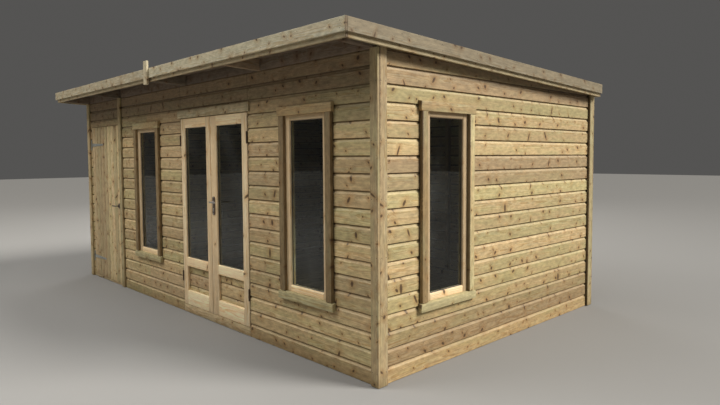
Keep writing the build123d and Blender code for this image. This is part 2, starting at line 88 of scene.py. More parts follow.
# %% Set the camera
picture_width = 720
picture_height = 405
focal_length = 578.66        # in pixels of the picture
axis_row = 188.85            # row of the picture that the lens points at
eye = Vector((5.360, -4.089, 1.552))
yaw = 0.8098                 # turned left from +Y
pitch = 0.0551               # tipped down
roll = -0.0059

forward = Vector((-math.sin(yaw) * math.cos(pitch), math.cos(yaw) * math.cos(pitch), -math.sin(pitch)))
level = Vector((math.cos(yaw), math.sin(yaw), 0))
upward = level.cross(forward)
side_axis = math.cos(roll) * level + math.sin(roll) * upward
top_axis = -math.sin(roll) * level + math.cos(roll) * upward
camera_data = bpy.data.cameras.new("camera")
camera_data.sensor_width = 36
camera_data.lens = focal_length / picture_width * camera_data.sensor_width
camera_data.shift_y = (axis_row - picture_height / 2) / picture_width
camera = add_object("camera", camera_data)
camera_turn = Matrix((side_axis, top_axis, -forward)).transposed()
camera.matrix_world = Matrix.Translation(eye) @ camera_turn.to_4x4()
scene.camera = camera
print("lens", round(camera_data.lens, 2), "mm")

# %% [markdown]
# ## Floor and light
# The real light is an overcast sky: soft, and brightest behind the building's right end, so the end
# wall is bright and the front lies in its own shade. A sun with a wide disc stands at the right rear
# and gives that. A wide panel overhead and a weaker one high on the left light the front, and one
# more lights the back. The world adds an even glow that also shows in the glass, so it stays modest.
# A material is a chain of small nodes, so short helpers for adding nodes come first.

# %% Helpers for shader nodes
def new_material(name):
    """A material without nodes. The helpers below call it m."""
    material = bpy.data.materials.new(name)
    material.use_nodes = True
    material.node_tree.nodes.clear()
    return material


def add(m, kind, wires=None, **settings):
    """Add a shader node, with a value or another node's socket for each input that is named."""
    node = m.node_tree.nodes.new("ShaderNode" + kind)
    for key, value in settings.items():
        setattr(node, key, value)
    for key, value in (wires or {}).items():
        if isinstance(value, bpy.types.NodeSocket):
            m.node_tree.links.new(value, node.inputs[key])
        else:
            node.inputs[key].default_value = value
    return node


def calc(m, operation, first, second=0.0, third=0.0):
    return add(m, "Math", {0: first, 1: second, 2: third}, operation=operation).outputs[0]


def times(m, first, second):
    return calc(m, "MULTIPLY", first, second)


def scaled(m, value, factor, start):
    """The value times a factor, plus a start."""
    return calc(m, "MULTIPLY_ADD", value, factor, start)


def ramp(m, value, start, end, low=0.0, high=1.0):
    """A smooth step from low to high as a value goes from start to end."""
    wires = {"Value": value, "From Min": start, "From Max": end, "To Min": low, "To Max": high}
    return add(m, "MapRange", wires, interpolation_type="SMOOTHSTEP").outputs[0]


def fall(m, value, start, end):
    """A smooth step down from 1 to 0."""
    return ramp(m, value, start, end, 1.0, 0.0)


def split(m, vector):
    return add(m, "SeparateXYZ", {0: vector}).outputs


def combine(m, x, y):
    return add(m, "CombineXYZ", {0: x, 1: y}).outputs[0]


def length(m, vector):
    return add(m, "VectorMath", {0: vector}, operation="LENGTH").outputs["Value"]


def noise(m, place, grains, detail=2.0, roughness=0.5):
    """Noise from 0 to 1, with so many grains a metre along each axis."""
    vector = add(m, "VectorMath", {0: place, 1: grains}, operation="MULTIPLY").outputs[0]
    wires = {"Vector": vector, "Scale": 1.0, "Detail": detail, "Roughness": roughness}
    return add(m, "TexNoise", wires).outputs[0]


print("node helpers ready")

# %% Helpers for colours and shaders
def mix(m, share, first, second, mode="MIX"):
    """Mix two colours. Each is a socket or three numbers."""
    colours = [(*colour, 1) if isinstance(colour, tuple) else colour for colour in (first, second)]
    wires = {0: share, 6: colours[0], 7: colours[1]}
    return add(m, "Mix", wires, data_type="RGBA", blend_type=mode).outputs[2]


def brighten(m, colour, light):
    return add(m, "VectorMath", {0: colour, "Scale": light}, operation="SCALE").outputs[0]


def bump(m, strength, distance, height):
    return add(m, "Bump", {"Strength": strength, "Distance": distance, "Height": height}).outputs[0]


def surface(m, shader):
    """Join the last shader to the material's output."""
    add(m, "OutputMaterial", {"Surface": shader.outputs[0]})
    return m


def principled(m, inputs):
    """Finish a material with the all-round shader."""
    return surface(m, add(m, "BsdfPrincipled", inputs))


print("shader helpers ready")

# %% Lay the floor
floor_size = 90.0
floor_mesh = bpy.data.meshes.new("studio_floor")
floor_shape = bmesh.new()
bmesh.ops.create_grid(floor_shape, x_segments=1, y_segments=1, size=floor_size / 2)
floor_shape.to_mesh(floor_mesh)
floor_shape.free()
studio_floor = add_object("studio_floor", floor_mesh)
floor_mesh.materials.append(principled(new_material("pale_floor"), {
    "Base Color": (0.27, 0.262, 0.246, 1), "Roughness": 0.9, "Specular IOR Level": 0.1}))
print("floor", floor_size, "m wide")

# %% Light the studio
warm_white = (1.0, 0.98, 0.95)
cool_white = (0.97, 0.98, 1.0)
scene.view_settings.view_transform = "Standard"
world = bpy.data.worlds.new("even_glow")
world.use_nodes = True
world.node_tree.nodes["Background"].inputs["Color"].default_value = (*warm_white, 1)
world.node_tree.nodes["Background"].inputs["Strength"].default_value = 0.09
scene.world = world


def add_light(name, kind, direction, energy, colour):
    data = bpy.data.lights.new(name, kind)
    data.energy = energy
    data.color = colour
    light = add_object(name, data)
    light.rotation_mode = "QUATERNION"
    light.rotation_quaternion = Vector(direction).to_track_quat("-Z", "Y")
    return light


def light_panel(name, place, aim, width, power, colour):
    """A large square panel that lights but isn't seen."""
    panel = add_light(name, "AREA", Vector(aim) - Vector(place), power, colour)
    panel.location = place
    panel.data.shape = "SQUARE"
    panel.data.size = width
    panel.visible_camera = False


sun = add_light("veiled_sun", "SUN", (-13.3, -8.0, -12.0), 4.5, warm_white)
sun.data.angle = math.radians(24)
light_panel("sky_panel", (0.5, -4.0, 10.0), (0, -1.0, 1.0), 9.0, 700, cool_white)
light_panel("front_panel", (-4.0, -9.0, 10.0), (0, -1.0, 1.0), 6.0, 610, warm_white)
light_panel("back_panel", (-8.0, 7.0, 6.5), (0, 0, 1.2), 6.0, 420, warm_white)

# %% [markdown]
# ## Wood
# Planed softwood shows three things: growth rings that a saw has cut along or across, knots where
# branches grew through, and fine fibres. A picture wrapped round a board gives them on one face only.
# Here the wood is solid: each vertex carries its place in the tree it was sawn from, and the shader
# works out rings and knots at that place, so faces, edges and ends agree.

# %% Knots
knot_spacing = (0.165, 0.105)    # along and across a board
smallest_knot = 0.0070           # radius
knot_growth = 0.0105             # what the largest adds to it


def knot_field(m, place, share):
    """Distance from the nearest branch, in metres, with that branch's radius."""
    along, across = knot_spacing
    axes = split(m, place)
    cells = combine(m, calc(m, "DIVIDE", axes[0], along), calc(m, "DIVIDE", axes[1], across))
    branch = add(m, "TexVoronoi", {"Vector": cells, "Scale": 1.0, "Randomness": 0.9},
                 voronoi_dimensions="2D")
    luck = add(m, "SeparateColor", {0: branch.outputs["Color"]}).outputs
    off = add(m, "VectorMath", {0: cells, 1: branch.outputs["Position"]}, operation="SUBTRACT")
    away = split(m, off.outputs[0])
    tall = scaled(m, calc(m, "POWER", luck[2], 14.0), 3.5, 1.0)
    lean = calc(m, "SINE", times(m, luck[0], 40.0))
    slant = times(m, times(m, lean, 0.35), away[1])
    reach_along = times(m, calc(m, "ADD", away[0], slant), along)
    reach_across = calc(m, "DIVIDE", times(m, away[1], across), tall)
    distance = length(m, combine(m, reach_along, reach_across))
    wobble = noise(m, place, (140, 140, 60), 1.0)
    distance = scaled(m, wobble, 0.004, calc(m, "SUBTRACT", distance, 0.002))
    there = calc(m, "LESS_THAN", luck[0], share)
    size = scaled(m, calc(m, "POWER", luck[1], 1.8), knot_growth, smallest_knot)
    return distance, times(m, size, there)


print("knots about every", round(1000 * knot_spacing[0]), "mm along a board")

# %% Rings round the pith
ring_width = 0.0048


def growth_rings(m, place, swerve):
    """How dark the late wood is. Rings bend and waver along the tree, and swerve round knots."""
    axes = split(m, place)
    pith = length(m, combine(m, axes[1], axes[2]))
    bend = noise(m, place, (1.3, 9, 9), 2.0)
    waver = noise(m, place, (7, 55, 55), 1.0)
    pith = scaled(m, bend, 0.034, pith)
    pith = scaled(m, waver, 0.0028, calc(m, "ADD", pith, swerve))
    ring = calc(m, "FRACT", calc(m, "DIVIDE", pith, ring_width))
    return times(m, ramp(m, ring, 0.35, 0.93), fall(m, ring, 0.94, 1.0))


print("rings every", round(1000 * ring_width, 1), "mm")

# %% Colour of the clean wood
blush_brown = (0.445, 0.32, 0.19)    # some boards are redder


def clean_colour(m, place, tone, warm, cool, tint, blush, blotchy):
    """Two hues in patches, lighter and darker in streaks, fibres and blotches."""
    mottle = noise(m, place, (2.2, 16, 16), 3.0)
    streak = noise(m, place, (2.5, 90, 90), 3.0)
    fibre = noise(m, place, (30, 1400, 1400), 2.0)
    blotch = noise(m, place, (16, 42, 42), 4.0, 0.65)
    hue = scaled(m, calc(m, "SUBTRACT", mottle, 0.5), 2.2, times(m, tone[0], tint))
    colour = mix(m, ramp(m, hue, 0.0, 1.0), warm, cool)
    colour = mix(m, ramp(m, tone[2], 0.66, 1.0, 0.0, blush), colour, blush_brown)
    light = scaled(m, tone[1], 0.30, 0.85)
    for pattern, depth in ((streak, 0.50), (fibre, 0.16), (blotch, blotchy)):
        light = times(m, light, scaled(m, pattern, depth, 1 - depth / 2))
    return brighten(m, colour, light), mottle, fibre


print("a hue, a brightness and a blush for each board")

# %% Stains, dirt, damp, and painted light and shade
shade_and_stain_brown = (0.10, 0.062, 0.030)
lip_shadow_and_dirt_brown = (0.135, 0.090, 0.042)
painted_hollow_highlight = (0.80, 0.66, 0.42)
painted_eaves_shade = (0.49, 0.475, 0.52)
damp_shade = (0.70, 0.66, 0.60)


def attribute(m, name, output="Vector"):
    return add(m, "Attribute", attribute_name=name).outputs[output]


def weather_and_painted_light(m, place, colour, mottle):
    """Stains and painted shade beside trims, dirt and painted shadow under each lip, a painted highlight in
    each hollow, painted shade below the roof's edge, and damp near the ground.
    """
    left, right, height = split(m, attribute(m, "shade_and_wear"))
    patchiness = noise(m, place, (70, 70, 70), 2.0)
    # Stains and painted shade in a narrow band beside trims and on the front edges of some boards.
    from_trim = scaled(m, patchiness, -0.016, calc(m, "MINIMUM", left, right))
    colour = mix(m, times(m, fall(m, from_trim, -0.006, 0.004), 0.8), colour, shade_and_stain_brown)
    lip = attribute(m, "below_lip", "Fac")
    # Painted shadow and dirt right under each board's lip.
    lip_shadow_and_dirt = times(m, ramp(m, lip, -0.0125, -0.006), scaled(m, patchiness, 0.4, 0.6))
    # A painted highlight along the hollow a little below each lip.
    hollow = times(m, ramp(m, lip, -0.032, -0.022), fall(m, lip, -0.014, -0.011))
    colour = mix(m, times(m, hollow, 0.18), colour, painted_hollow_highlight)
    colour = mix(m, lip_shadow_and_dirt, colour, lip_shadow_and_dirt_brown)
    # Painted shade below the roof's edge, deepest at the top of each wall.
    shaded = ramp(m, attribute(m, "shelter", "Fac"), 0.0, 1.0)
    colour = mix(m, shaded, colour, painted_eaves_shade, "MULTIPLY")
    damp = fall(m, scaled(m, mottle, -0.40, height), -0.15, 0.80)
    return mix(m, times(m, damp, 0.85), colour, damp_shade, "MULTIPLY")


print("four kinds of wear")

# %% The wood shader
late_tone = (0.74, 0.60, 0.42)
knot_halo = (0.78, 0.60, 0.42)
knot_heart = (0.075, 0.040, 0.018)
brightest = (0.94, 0.94, 0.94)


def wood(name, warm, cool, late=late_tone, knots=0.85, rough=0.62, relief=0.4, tint=0.8, blush=0.6,
         blotchy=1.3):
    """Softwood with growth rings round a pith, knots, streaks, fibres, wear, and painted light and shade.
    """
    m = new_material(name)
    place = attribute(m, "grain")
    tone = split(m, attribute(m, "tone"))
    distance, radius = knot_field(m, place, knots)
    near = fall(m, distance, 0.0, calc(m, "MAXIMUM", times(m, radius, 4.5), 0.0001))
    late_wood = growth_rings(m, place, times(m, near, times(m, radius, 1.6)))
    colour, mottle, fibre = clean_colour(m, place, tone, warm, cool, tint, blush, blotchy)
    colour = mix(m, times(m, late_wood, 0.7), colour, late, "MULTIPLY")
    colour = mix(m, times(m, near, 0.65), colour, knot_halo, "MULTIPLY")
    heart = fall(m, distance, times(m, radius, 0.5), times(m, radius, 1.15))
    heart = times(m, heart, calc(m, "GREATER_THAN", radius, 0.001))
    colour = mix(m, times(m, heart, 0.92), colour, knot_heart)
    colour = weather_and_painted_light(m, place, colour, mottle)
    colour = add(m, "VectorMath", {0: colour, 1: brightest}, operation="MINIMUM").outputs[0]
    height = scaled(m, late_wood, 0.35, times(m, fibre, 0.5))
    height = scaled(m, heart, 0.5, height)
    return principled(m, {
        "Base Color": colour, "Roughness": scaled(m, fibre, 0.16, rough - 0.08),
        "Specular IOR Level": 0.35, "Normal": bump(m, relief, 0.0008, height)})


woods = {
    "cladding_timber": wood("treated_boards", (0.515, 0.382, 0.20), (0.455, 0.388, 0.192)),
    "trim_timber": wood("treated_trim", (0.45, 0.34, 0.19), (0.41, 0.355, 0.19), knots=0.7),
    "joinery_timber": wood("planed_pine", (0.97, 0.74, 0.45), (0.95, 0.79, 0.51), (0.80, 0.62, 0.40),
                           knots=0.22, rough=0.5, relief=0.25, blush=0.25, blotchy=0.5),
    "framing_timber": wood("sawn_framing", (0.60, 0.44, 0.25), (0.52, 0.44, 0.24),
                           knots=0.6, rough=0.78, relief=0.9),
    "floor_timber": wood("floor_boards", (0.62, 0.46, 0.27), (0.58, 0.46, 0.26), knots=0.6),
    # The roof's timber is darkened far below the other woods: painted shade for the soffit and eaves.
    "roof_timber": wood("roof_boards", (0.160, 0.120, 0.085), (0.145, 0.118, 0.085),
                        knots=0.7, rough=0.75, relief=0.7)}
print("kinds of wood:", sorted(woods))

# %% Woods of their own
surrounds = ["front_left_window_surround", "front_right_window_surround", "side_window_surround"]
special_woods = [
    (wood("weathered_trim", (0.475, 0.415, 0.285), (0.45, 0.42, 0.295), knots=0.8, blush=0.2),
     ["front_fascia_left", "front_fascia_right", "back_fascia", "fascia_joint_strip"]),
    (wood("drip_boards", (0.48, 0.385, 0.235), (0.45, 0.385, 0.24), blush=0.3), ["front_drip_board"]),
    (wood("side_drip_boards", (0.40, 0.32, 0.185), (0.38, 0.32, 0.19), blush=0.3), ["side_drip_boards"]),
    # The side fascias are much darker than the front ones: painted shade.
    (wood("side_fascia_painted_shade", (0.205, 0.176, 0.116), (0.194, 0.176, 0.117), blush=0.1, tint=0.5,
          blotchy=1.1), ["side_fascias"]),
    (wood("threshold_boards", (0.60, 0.47, 0.28), (0.55, 0.47, 0.28), knots=0.4, blush=0.3),
     ["door_thresholds"]),
    (wood("dull_boards", (0.47, 0.37, 0.22), (0.43, 0.37, 0.23), knots=0.4, blush=0.3),
     ["door_head_board"]),
    (wood("surround_boards", (0.50, 0.35, 0.17), (0.50, 0.44, 0.24), knots=0.45, tint=1.0, blush=0.3),
     surrounds),
    # Rafters, eaves boards and verge battens take that dark roof wood too: painted shade under the eaves.
    (woods["roof_timber"], ["rafters", "eaves_boards", "verge_battens"])]
wood_of = {node: finish for finish, dressed in special_woods for node in dressed}
print("nodes with a wood of their own:", len(wood_of))

# %% [markdown]
# ## From solids to sawn wood
# Posts, rails and trims have their right shape already. What they lack is grain that runs along each
# one. So each timber solid is copied, its loose triangles are merged, its arrises are taken off where
# the solid still has them, and every separate bar in it is given its own place in the tree.

# %% Give a board its grain
far_off = 9                  # metres, more than any board is long


def fresh_spot(chance):
    """Where in a tree a board was sawn, and its own hue, brightness and blush."""
    shift = Vector((chance.uniform(1, 90), chance.uniform(-0.05, 0.05), chance.uniform(0.015, 0.08)))
    return shift, Vector((chance.random(), chance.random(), chance.random()))


def add_layers(bm):
    for name in ("grain", "tone", "shade_and_wear"):
        bm.verts.layers.float_vector.new(name)
    for name in ("below_lip", "shelter"):
        bm.verts.layers.float.new(name)
    bm.verts.ensure_lookup_table()


def lay_grain(bm, verts, spot, origin, along, across, ends=(-far_off, far_off), half_cover=far_off,
              damp_height=0.12):
    """Write each vertex's place in the tree, and how far it is from the trims, the ground and a lip."""
    below_lip = bm.verts.layers.float["below_lip"]
    grain, tone, shade_and_wear = (bm.verts.layers.float_vector[name] for name in ("grain", "tone", "shade_and_wear"))
    through = along.cross(across)
    shift, tint = spot
    for vert in verts:
        rest = vert.co - origin
        vert[grain] = Vector((rest.dot(along), rest.dot(across), rest.dot(through))) + shift
        vert[tone] = tint
        place = vert.co.dot(along)
        vert[shade_and_wear] = Vector((place - ends[0], ends[1] - place, vert.co.z / damp_height))
        vert[below_lip] = rest.dot(across) - half_cover


print("grain helpers ready")

# %% Tell bars apart and find which way they run
def islands(bm):
    """The separate solids in a mesh, in order, as lists of vertices."""
    left = set(bm.verts)
    groups = []
    for first in bm.verts:
        if first in left:
            left.discard(first)
            group = [first]
            for vert in group:
                others = [edge.other_vert(vert) for edge in vert.link_edges]
                new = [other for other in others if other in left]
                left.difference_update(new)
                group += new
            groups.append(group)
    return groups


def spread(verts, axis):
    places = [vert.co.dot(axis) for vert in verts]
    return min(places), max(places)


def corners(points):
    axes = list(zip(*points))
    return Vector([min(axis) for axis in axes]), Vector([max(axis) for axis in axes])


def middle(verts):
    return sum(corners([vert.co for vert in verts]), Vector()) / 2


def directions(verts):
    """The way a bar's longest edge runs, and the wider of the two ways across it."""
    edges = {edge for vert in verts for edge in vert.link_edges}
    longest = max(edges, key=lambda edge: (round(edge.calc_length(), 5), -edge.index))
    along = (longest.verts[1].co - longest.verts[0].co).normalized()
    helper = Vector(upwards if abs(along.z) < 0.7 else north)
    across = along.cross(helper).normalized()
    other = across.cross(along)
    widths = [high - low for low, high in (spread(verts, across), spread(verts, other))]
    return along, across if widths[0] > widths[1] else other


print("bar helpers ready")

# %% Turn a mesh into a finished piece
def shade(bm, angle=math.radians(35)):
    """Shade smoothly, except over edges sharper than this angle."""
    for face in bm.faces:
        face.smooth = True
    for edge in bm.edges:
        edge.smooth = len(edge.link_faces) == 2 and edge.calc_face_angle(0) < angle


def finish_piece(bm, name, material, body, replaced=()):
    shade(bm)
    mesh = bpy.data.meshes.new(name)
    bm.to_mesh(mesh)
    bm.free()
    mesh.materials.append(material)
    piece = add_object(name, mesh)
    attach(piece, body)
    if replaced:
        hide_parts(*replaced)
    print(name, "faces:", len(mesh.polygons))


def stand_in(bm, node, name, material=None):
    """Finish a piece that takes a node's place, in the wood of the node's slot unless one is given."""
    finish_piece(bm, name, material or woods[slot_of[node]], body_of[node], [node])


def merged_copy(node):
    """A CAD node's mesh with its loose triangles joined and its flat faces made whole."""
    bm = bmesh.new()
    bm.from_mesh(nodes[node].data)
    bmesh.ops.remove_doubles(bm, verts=bm.verts, dist=1e-5)
    bmesh.ops.dissolve_limit(bm, angle_limit=math.radians(1), verts=bm.verts, edges=bm.edges)
    return bm


print("piece helpers ready")

# %% Tones of the window frames
wall_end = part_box("right_cladding")[0].x - 0.1
side_middle = (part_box("side_window_surround")[0].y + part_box("side_window_surround")[1].y) / 2
mid_height = 1.0             # sills are below it
head_level = 1.8             # top rails are above it


def drawn_tone(chance, hue, brightness):
    return Vector((chance.uniform(*hue), chance.uniform(*brightness), 0))


def surround_tone(node, upright, place, chance):
    """Tone of a board round a window: brown jambs in the front, darkened as painted shade, and green sills.
    """
    if upright and node.startswith("front"):
        return drawn_tone(chance, (0.0, 0.2), (-1.35, -1.05))
    if upright and place.y > side_middle:
        return drawn_tone(chance, (0.6, 0.9), (0.4, 0.9))
    if upright:
        return drawn_tone(chance, (0.2, 0.5), (-0.9, -0.6))
    if place.z > mid_height:
        return drawn_tone(chance, (0.2, 0.5), (-0.1, 0.2))
    return drawn_tone(chance, (0.9, 1.2), (0.0, 0.5))


def sash_tone(place, chance):
    """Tone of a sash rail: bottom rails are bright, and the end wall's other rails are the reddest."""
    if place.x < wall_end:
        brightness = 0.5 if place.z < mid_height else chance.uniform(-0.9, -0.4)
        return Vector((chance.uniform(0.0, 0.4), brightness, 0))
    if place.z < mid_height:
        return Vector((0.2, 0.2, 0))
    far_or_top = place.y > side_middle or place.z > head_level
    return Vector((0.0, -1.25 if far_or_top else -1.0, 0))


print("window tones split at", mid_height, "m up")

# %% Dress a node's bars
# The side window's surround and the side corner boards get painted shade and stain on their faces towards
# the front.
edges_with_shade_and_stain = ["side_window_surround", "side_corner_boards"]
ends_darkened = ["front_fascia_right", "front_drip_board"]
edge_shade_offset = 0.004           # how far the painted shade and stain are moved on from a corner
arris = 0.001
sharp_edge = math.radians(30)


def shade_and_stain_edges(bar, shade_and_wear):
    """Paint shade and stain on a bar's faces towards the front, less and less towards its foot."""
    nearest = min(vert.co.y for vert in bar)
    foot, top = spread(bar, Vector(upwards))
    fade = 0.020 if middle(bar).y < side_middle else 0.004
    for vert in bar:
        fading = fade * (top - vert.co.z) / (top - foot)
        vert[shade_and_wear].x = vert.co.y - nearest - edge_shade_offset + fading


def dress_bars(node, chance, ease=arris):
    """Replace a timber node by a copy with grain along each bar and its arrises taken off."""
    bm = merged_copy(node)
    add_layers(bm)
    bm.edges.index_update()
    shade_and_wear = bm.verts.layers.float_vector["shade_and_wear"]
    for bar in islands(bm):
        along, across = directions(bar)
        upright = abs(along.z) > 0.5
        shift, tone = fresh_spot(chance)
        if node in surrounds:
            tone = surround_tone(node, upright, middle(bar), chance)
        if node == "window_sashes":
            tone = sash_tone(middle(bar), chance)
        if node.endswith("_door_leaf"):
            tone.y = chance.uniform(-0.3, 0.1) if upright else chance.uniform(0.4, 0.7)
            tone.z = 0
        lay_grain(bm, bar, (shift, tone), middle(bar), along, across)
        if node in edges_with_shade_and_stain:
            shade_and_stain_edges(bar, shade_and_wear)
        # These boards are darkened towards their right ends.
        for vert in bar if node in ends_darkened else ():
            vert[shade_and_wear].y = 2 * (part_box(node)[1].x - vert.co.x) + 0.001
    if ease:
        sharp = [e for e in bm.edges if len(e.link_faces) == 2 and e.calc_face_angle(0) > sharp_edge]
        bmesh.ops.bevel(bm, geom=sharp, offset=ease, affect="EDGES", segments=2, profile=0.5, material=-1)
    stand_in(bm, node, f"{node}_wood", wood_of.get(node))


# %% Dress every bar
planed_with_eased_edges = [
    "front_fascia_left", "front_fascia_right", "front_drip_board", "side_fascias", "side_drip_boards",
    "back_fascia", "fascia_joint_strip", "front_corner_boards", "back_corner_boards", "side_corner_boards",
    "divider_strip", "door_head_board"]
plain_bars = [
    "floor_bearers", "long_wall_studs", "side_wall_studs", "partition_studs", "long_wall_plates",
    "cross_wall_plates", "opening_trimmers", "eaves_boards", "rafters", "verge_battens", *surrounds,
    "window_sashes", "left_door_leaf", "right_door_leaf", "door_thresholds", "door_stops",
    "shed_door_bracing"]
chance = random.Random(12)
for node in planed_with_eased_edges:
    dress_bars(node, chance, ease=0)
for node in plain_bars:
    dress_bars(node, chance)

# %% [markdown]
# ## Boards
# Walls, floors, roof and doors are boarded, and all boards are made alike: the outline of one board is
# drawn as a few points, swept along its length, and sawn off by planes at its ends and round openings.
# Only the outline differs. Wall boards have a hollow along their top and a lip that hangs over the
# board below, which gives the dark line and the bright edge at each joint. The shader adds painted
# shadow to that line and a painted highlight to that edge.

# %% Outlines of boards, as depth behind the face and height
def hollow_board(thickness, cover):
    """A wall board: a lip at its foot, a round hollow along its top and a tongue above that."""
    lip = 0.62 * thickness
    hollow = lip + 0.0005
    rise = 0.024
    tongue = 0.010
    steps = 5
    radius = (hollow ** 2 + rise ** 2) / (2 * hollow)
    points = [(lip, 0), (0.0012, 0), (0, 0.0012)]
    top = cover - 0.0045
    for step in range(steps + 1):
        height = rise * step / steps
        depth = hollow - radius + math.sqrt(radius ** 2 - (rise - height) ** 2)
        points.append((depth, top - rise + height))
    points += [(hollow, cover + tongue), (thickness, cover + tongue)]
    points += [(thickness, tongue + 0.0015), (lip, tongue + 0.0015)]
    return points


def matched_board(thickness, cover, vee):
    """A board with a tongue on one edge, a groove in the other, and its face edges bevelled."""
    third = thickness / 3
    play = 0.0004
    tongue = 0.006
    groove = tongue + 0.001
    edge = cover - play
    return [(third, play), (vee, play), (0, vee), (0, cover - vee), (vee, edge), (third, edge),
            (third, edge + tongue), (2 * third, edge + tongue), (2 * third, edge), (thickness, edge),
            (thickness, play), (2 * third, play), (2 * third, groove), (third, groove)]


print("outline points:", len(hollow_board(0.02, 0.12)), "and", len(matched_board(0.018, 0.1, 0.003)))

# %% Sweep and saw
def new_boarding():
    bm = bmesh.new()
    add_layers(bm)
    return bm


def pull_out(bm, points, length):
    """Pull an outline out along X into a closed solid."""
    section = bm.faces.new([bm.verts.new(point) for point in points])
    pulled = bmesh.ops.extrude_face_region(bm, geom=[section])["geom"]
    ends = [item for item in pulled if isinstance(item, bmesh.types.BMVert)]
    bmesh.ops.translate(bm, verts=ends, vec=(length, 0, 0))
    bmesh.ops.recalc_face_normals(bm, faces=bm.faces)


def saw(bm, point, away):
    """Cut off what lies beyond a plane, and close the cut."""
    geometry = bm.verts[:] + bm.edges[:] + bm.faces[:]
    bmesh.ops.bisect_plane(bm, geom=geometry, dist=1e-6, plane_co=point, plane_no=away, clear_outer=True)
    bmesh.ops.holes_fill(bm, edges=[edge for edge in bm.edges if edge.is_boundary])


def add_to(whole, bm):
    mesh = bpy.data.meshes.new("board")
    bm.to_mesh(mesh)
    bm.free()
    whole.from_mesh(mesh)
    bpy.data.meshes.remove(mesh)


print("boards can be swept and sawn")

# %% Cut openings out of a board
def around(openings, start, end, low, high):
    """What is left of a board when the openings are cut out of it, as rectangles."""
    parts = [(start, end, low, high)]
    for left, right, sill, head in openings:
        kept = []
        for a, b, c, d in parts:
            if right <= a or left >= b or head <= c or sill >= d:
                kept.append((a, b, c, d))
                continue
            inner = (max(a, left), min(b, right))
            rest = [(a, left, c, d), (right, b, c, d), (*inner, c, sill), (*inner, head, d)]
            kept += [part for part in rest if part[0] < part[1] and part[2] < part[3]]
        parts = kept
    return parts


def seen_ends(x1, x2, trims, openings, jamb):
    """Where a board goes under a trim at its left and right."""
    left, right = trims or (-far_off, far_off)
    for a, b, _, _ in openings:
        if abs(x1 - b) < 1e-6:
            left = b + jamb
        if abs(x2 - a) < 1e-6:
            right = a - jamb
    return left, right


print("a board with a window in it:", len(around([(1, 2, 0, 3)], 0, 5, 0, 3)), "parts")

# %% Fill a rectangle with boards
red_board = Vector((0.3, 0.0, 1.0))
end_gap = 0.001


def board_up(whole, matrix, outline, cover, start, end, low, high, first, seed,
             openings=(), planes=(), butts=None, settle=0.0012, trims=None, jamb=0.0, shelter=0.0, red=(),
             damp_height=0.12, contrast=1.0, lighter=0.0):
    """Rows of boards from start to end and from low to high. Gives back where each board lies."""
    extra = max(height for _, height in outline) - cover
    turn = matrix.to_3x3()
    along = (turn @ Vector(east)).normalized()
    across = (turn @ Vector(upwards)).normalized()
    laid = []
    for row in range(math.floor((low - first) / cover), math.ceil((high - first) / cover)):
        height = first + row * cover
        chance = random.Random(seed * 100 + row + 50)
        joints = [start - far_off, *(butts(row) if butts else []), end + far_off]
        for a, b in zip(joints, joints[1:]):
            shift, tone = fresh_spot(chance)
            tone.y = tone.y * contrast + lighter
            spot = (shift, red_board if row in red else tone)
            depth = chance.uniform(0.2, 1.0) * settle
            if b - end_gap <= start or a >= end:
                continue
            x1, x2 = max(a, start), min(b - end_gap, end)
            bottom, top = max(low, height), min(high, height + cover + extra)
            for x1, x2, z1, z2 in around(openings, x1, x2, bottom, top):
                bm = new_boarding()
                pull_out(bm, [(x1, *point) for point in outline], x2 - x1)
                bmesh.ops.translate(bm, verts=bm.verts, vec=(0, depth, height))
                if z1 > height:
                    saw(bm, (0, 0, z1), downwards)
                if z2 < height + cover + extra:
                    saw(bm, (0, 0, z2), upwards)
                bmesh.ops.transform(bm, matrix=matrix, verts=bm.verts)
                for point, away in planes:
                    saw(bm, point, away)
                ends = seen_ends(x1, x2, trims, openings, jamb)
                centre = matrix @ Vector((0, 0, height + cover / 2))
                lay_grain(bm, bm.verts, spot, centre, along, across, ends, cover / 2, damp_height)
                # Painted shade below the roof's edge: 1 at the drip board's foot, down to 0 at the given
                # depth.
                for vert in bm.verts if shelter else ():
                    under = roof_height(vert.co.y, drip_board_height) - vert.co.z
                    vert[bm.verts.layers.float["shelter"]] = 1 - under / shelter
                add_to(whole, bm)
                laid.append((x1, x2, z1, z2, height, depth))
    return laid


def facing(along, inward, point):
    """A matrix whose X runs along the boards, Y into them, and Z across them."""
    along, inward = Vector(along).normalized(), Vector(inward).normalized()
    turn = Matrix((along, inward, along.cross(inward))).transposed()
    return Matrix.Translation(point) @ turn.to_4x4()


def board_node(node, matrix, outline, cover, *place, name=None, **more):
    """Fill a node's place with boards and finish them. Gives back how they lie."""
    whole = new_boarding()
    laid = board_up(whole, matrix, outline, cover, *place, **more)
    stand_in(whole, node, name or f"{node}_boards")
    return matrix, laid


print("boards are laid in rows and sawn round openings")

# %% [markdown]
# ## The walls
# Each wall is a slab in the frame, and its boards go where the slab is. The joints run at the same
# heights all round the building. The openings are found from the window surrounds, whose boards
# stand a known width outside each opening.

# %% Measure the roof line and the openings
felt_low, felt_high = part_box("roof_felt")
felt_thickness = 0.004
felt_below_fascia = 0.004
roof_slope = (felt_high.z - felt_low.z - felt_thickness) / (felt_high.y - felt_low.y)
roof_normal = Vector((0, roof_slope, 1)).normalized()
rafter_top_drop = 0.026
drip_board_height = 0.122
jamb_board = 0.062
sill_overlap = 0.018
sill_height = 0.064
head_height = 0.074


def roof_height(y, below):
    """Height of a plane this far below the roof line."""
    return felt_high.z + felt_below_fascia - roof_slope * (y - felt_low.y) - below


def opening_inside(surround, axis):
    low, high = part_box(surround)
    past = jamb_board + sill_overlap
    return low[axis] + past, high[axis] - past, low.z + sill_height, high.z - head_height


